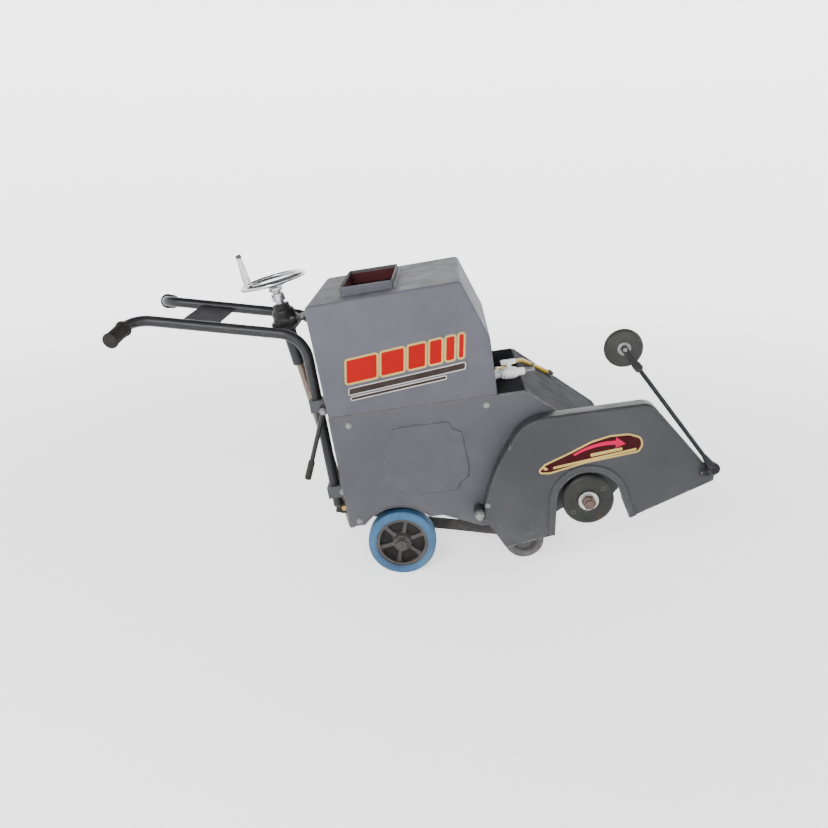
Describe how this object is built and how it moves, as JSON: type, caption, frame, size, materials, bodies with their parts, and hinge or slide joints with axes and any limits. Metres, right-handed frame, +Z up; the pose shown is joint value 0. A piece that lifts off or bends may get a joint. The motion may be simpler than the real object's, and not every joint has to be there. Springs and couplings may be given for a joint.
{
  "type": "walk-behind concrete saw",
  "caption": "Walk-behind concrete saw with a hood-covered engine, blade guard, swing-up pointer wheel, depth handwheel and push handlebars on four wheels.",
  "frame": {"origin": "on the ground under the middle of the outer box", "axes": "+X forward towards the blade guard, +Y to the left of a person at the handlebars, +Z up"},
  "size_m": [1.6423, 0.5913, 0.9203],
  "materials": {
    "shell_paint": "satin, scuffed",
    "hood_paint": "satin, scuffed",
    "guard_paint": "satin, worn edges",
    "black_paint": "satin",
    "tube_black": "powder coat",
    "grip_rubber": "ribbed, matt",
    "blue_tyre": "moulded, dusty",
    "wheel_iron": "rough cast",
    "front_rubber": "moulded, worn",
    "steel": "machined",
    "zinc": "zinc plated",
    "chrome": "polished",
    "flange_iron": "machined, oiled",
    "bearing_iron": "painted",
    "engine_alloy": "cast",
    "engine_black": "satin",
    "tank_red": "gloss",
    "muffler_steel": "heat stained",
    "filter_plastic": "grained",
    "cap_plastic": "moulded",
    "belt_rubber": "matt",
    "valve_white": "moulded",
    "hose_yellow": "smooth",
    "nut_bronze": "machined",
    "pointer_rubber": "solid, dusty"
  },
  "bodies": {
    "chassis": {"side_plate_right": "shell_paint", "side_plate_left": "shell_paint", "rear_plate": "shell_paint", "engine_bed": "shell_paint", "spindle_bed": "shell_paint", "nose_deck": "shell_paint", "axle_hangers": "shell_paint", "rear_axle": "steel", "hood_wrap": "hood_paint", "hood_side_right": "hood_paint", "hood_side_left": "hood_paint", "hood_collar": "hood_paint", "engine_block": "engine_black", "cylinder_head": "engine_alloy", "recoil_cover": "engine_black", "fuel_tank": "tank_red", "muffler": "muffler_steel", "air_cleaner": "filter_plastic", "pillow_blocks": "bearing_iron", "drive_belts": "belt_rubber", "handlebar_right": "tube_black", "handlebar_left": "tube_black", "handlebar_plate": "shell_paint", "grip_right": "grip_rubber", "grip_left": "grip_rubber", "leg_clamps": "shell_paint", "column_bracket": "tube_black", "column_bearing": "black_paint", "column_tube": "tube_black", "water_valve": "valve_white", "water_hose": "hose_yellow", "hose_clips": "cap_plastic", "frame_bolts": "zinc", "axle_caps": "zinc"},
    "rear_wheel_right": {"rear_tyre_right": "blue_tyre", "rear_hub_right": "wheel_iron"},
    "rear_wheel_left": {"rear_tyre_left": "blue_tyre", "rear_hub_left": "wheel_iron"},
    "wheel_arm": {"wheel_arm": "black_paint", "front_axle": "steel"},
    "front_wheel_right": {"front_wheel_right": "front_rubber"},
    "front_wheel_left": {"front_wheel_left": "front_rubber"},
    "blade_shaft": {"blade_shaft": "steel", "inner_flange": "flange_iron", "driven_pulley": "flange_iron"},
    "flange_nut": {"outer_flange": "flange_iron", "arbor_nut": "zinc"},
    "engine_shaft": {"crankshaft": "steel", "flywheel": "engine_alloy", "drive_pulley": "flange_iron"},
    "depth_screw": {"depth_screw": "steel", "handwheel": "chrome"},
    "crank_handle": {"crank_handle": "chrome"},
    "screw_nut": {"screw_nut": "nut_bronze"},
    "blade_guard": {"blade_guard": "guard_paint"},
    "pointer_arm": {"pointer_arm": "tube_black"},
    "pointer_wheel": {"pointer_wheel": "pointer_rubber"},
    "valve_handle": {"valve_handle": "valve_white"},
    "fuel_cap": {"fuel_cap": "cap_plastic"},
    "clamp_lever": {"clamp_lever": "tube_black"}
  },
  "joints": [
    {"name": "rear_wheel_right_spin", "type": "hinge", "parent": "chassis", "child": "rear_wheel_right", "pos_m": [-0.0422, -0.1726, 0.1], "axis": [0, 1, 0], "continuous": true},
    {"name": "rear_wheel_left_spin", "type": "hinge", "parent": "chassis", "child": "rear_wheel_left", "pos_m": [-0.0422, 0.2174, 0.1], "axis": [0, 1, 0], "continuous": true},
    {"name": "depth_screw_turn", "type": "hinge", "parent": "chassis", "child": "depth_screw", "pos_m": [-0.21916, 0.0224, 0.07513], "axis": [-0.2436, 0, 0.9699], "range_deg": [0, 3840]},
    {"name": "wheel_arm_lift", "type": "hinge", "parent": "chassis", "child": "wheel_arm", "pos_m": [-0.0422, 0.0224, 0.1], "axis": [0, -1, 0], "range_deg": [-0.1, 19.7]},
    {"name": "screw_nut_travel", "type": "slide", "parent": "chassis", "child": "screw_nut", "axis": [0.2436, 0, -0.9699], "range_m": [-0.0002, 0.0642]},
    {"name": "front_wheel_right_spin", "type": "hinge", "parent": "wheel_arm", "child": "front_wheel_right", "pos_m": [0.3228, -0.0836, 0.06], "axis": [0, 1, 0], "continuous": true},
    {"name": "front_wheel_left_spin", "type": "hinge", "parent": "wheel_arm", "child": "front_wheel_left", "pos_m": [0.3228, 0.1284, 0.06], "axis": [0, 1, 0], "continuous": true},
    {"name": "engine_shaft_spin", "type": "hinge", "parent": "chassis", "child": "engine_shaft", "pos_m": [0.01324, 0.0224, 0.35217], "axis": [0, 1, 0], "continuous": true},
    {"name": "blade_shaft_spin", "type": "hinge", "parent": "chassis", "child": "blade_shaft", "pos_m": [0.47804, 0.0224, 0.264], "axis": [0, 1, 0], "continuous": true},
    {"name": "flange_nut_slide", "type": "slide", "parent": "blade_shaft", "child": "flange_nut", "axis": [0, -1, 0], "range_m": [0, 0.06]},
    {"name": "crank_handle_spin", "type": "hinge", "parent": "depth_screw", "child": "crank_handle", "pos_m": [-0.46365, -0.04852, 0.82104], "axis": [-0.2436, 0, 0.9699], "continuous": true},
    {"name": "blade_guard_lift", "type": "hinge", "parent": "chassis", "child": "blade_guard", "pos_m": [0.1787, -0.2396, 0.22395], "axis": [0, -1, 0], "range_deg": [0, 60]},
    {"name": "pointer_arm_swing", "type": "hinge", "parent": "blade_guard", "child": "pointer_arm", "pos_m": [0.80198, -0.2746, 0.36608], "axis": [0, 1, 0], "range_deg": [0, 170]},
    {"name": "pointer_wheel_spin", "type": "hinge", "parent": "pointer_arm", "child": "pointer_wheel", "pos_m": [0.5397, -0.2746, 0.70184], "axis": [0, 1, 0], "continuous": true},
    {"name": "valve_handle_turn", "type": "hinge", "parent": "chassis", "child": "valve_handle", "pos_m": [0.26466, -0.0776, 0.60391], "axis": [-0.1392, 0, 0.9903], "range_deg": [0, 90]},
    {"name": "fuel_cap_turn", "type": "hinge", "parent": "chassis", "child": "fuel_cap", "pos_m": [-0.1224, 0.0124, 0.79995], "axis": [-0.1392, 0, 0.9903], "range_deg": [0, 90]},
    {"name": "clamp_lever_turn", "type": "hinge", "parent": "chassis", "child": "clamp_lever", "pos_m": [-0.25526, -0.1656, 0.50226], "axis": [0, 1, 0], "range_deg": [0, 60]}
  ],
  "couplings": [
    {"joint": "wheel_arm_lift", "follows": "depth_screw_turn", "ratio": 0.0051039},
    {"joint": "screw_nut_travel", "follows": "depth_screw_turn", "m_per_rad": 0.00095493},
    {"joint": "blade_shaft_spin", "follows": "engine_shaft_spin", "ratio": 0.71429}
  ]
}
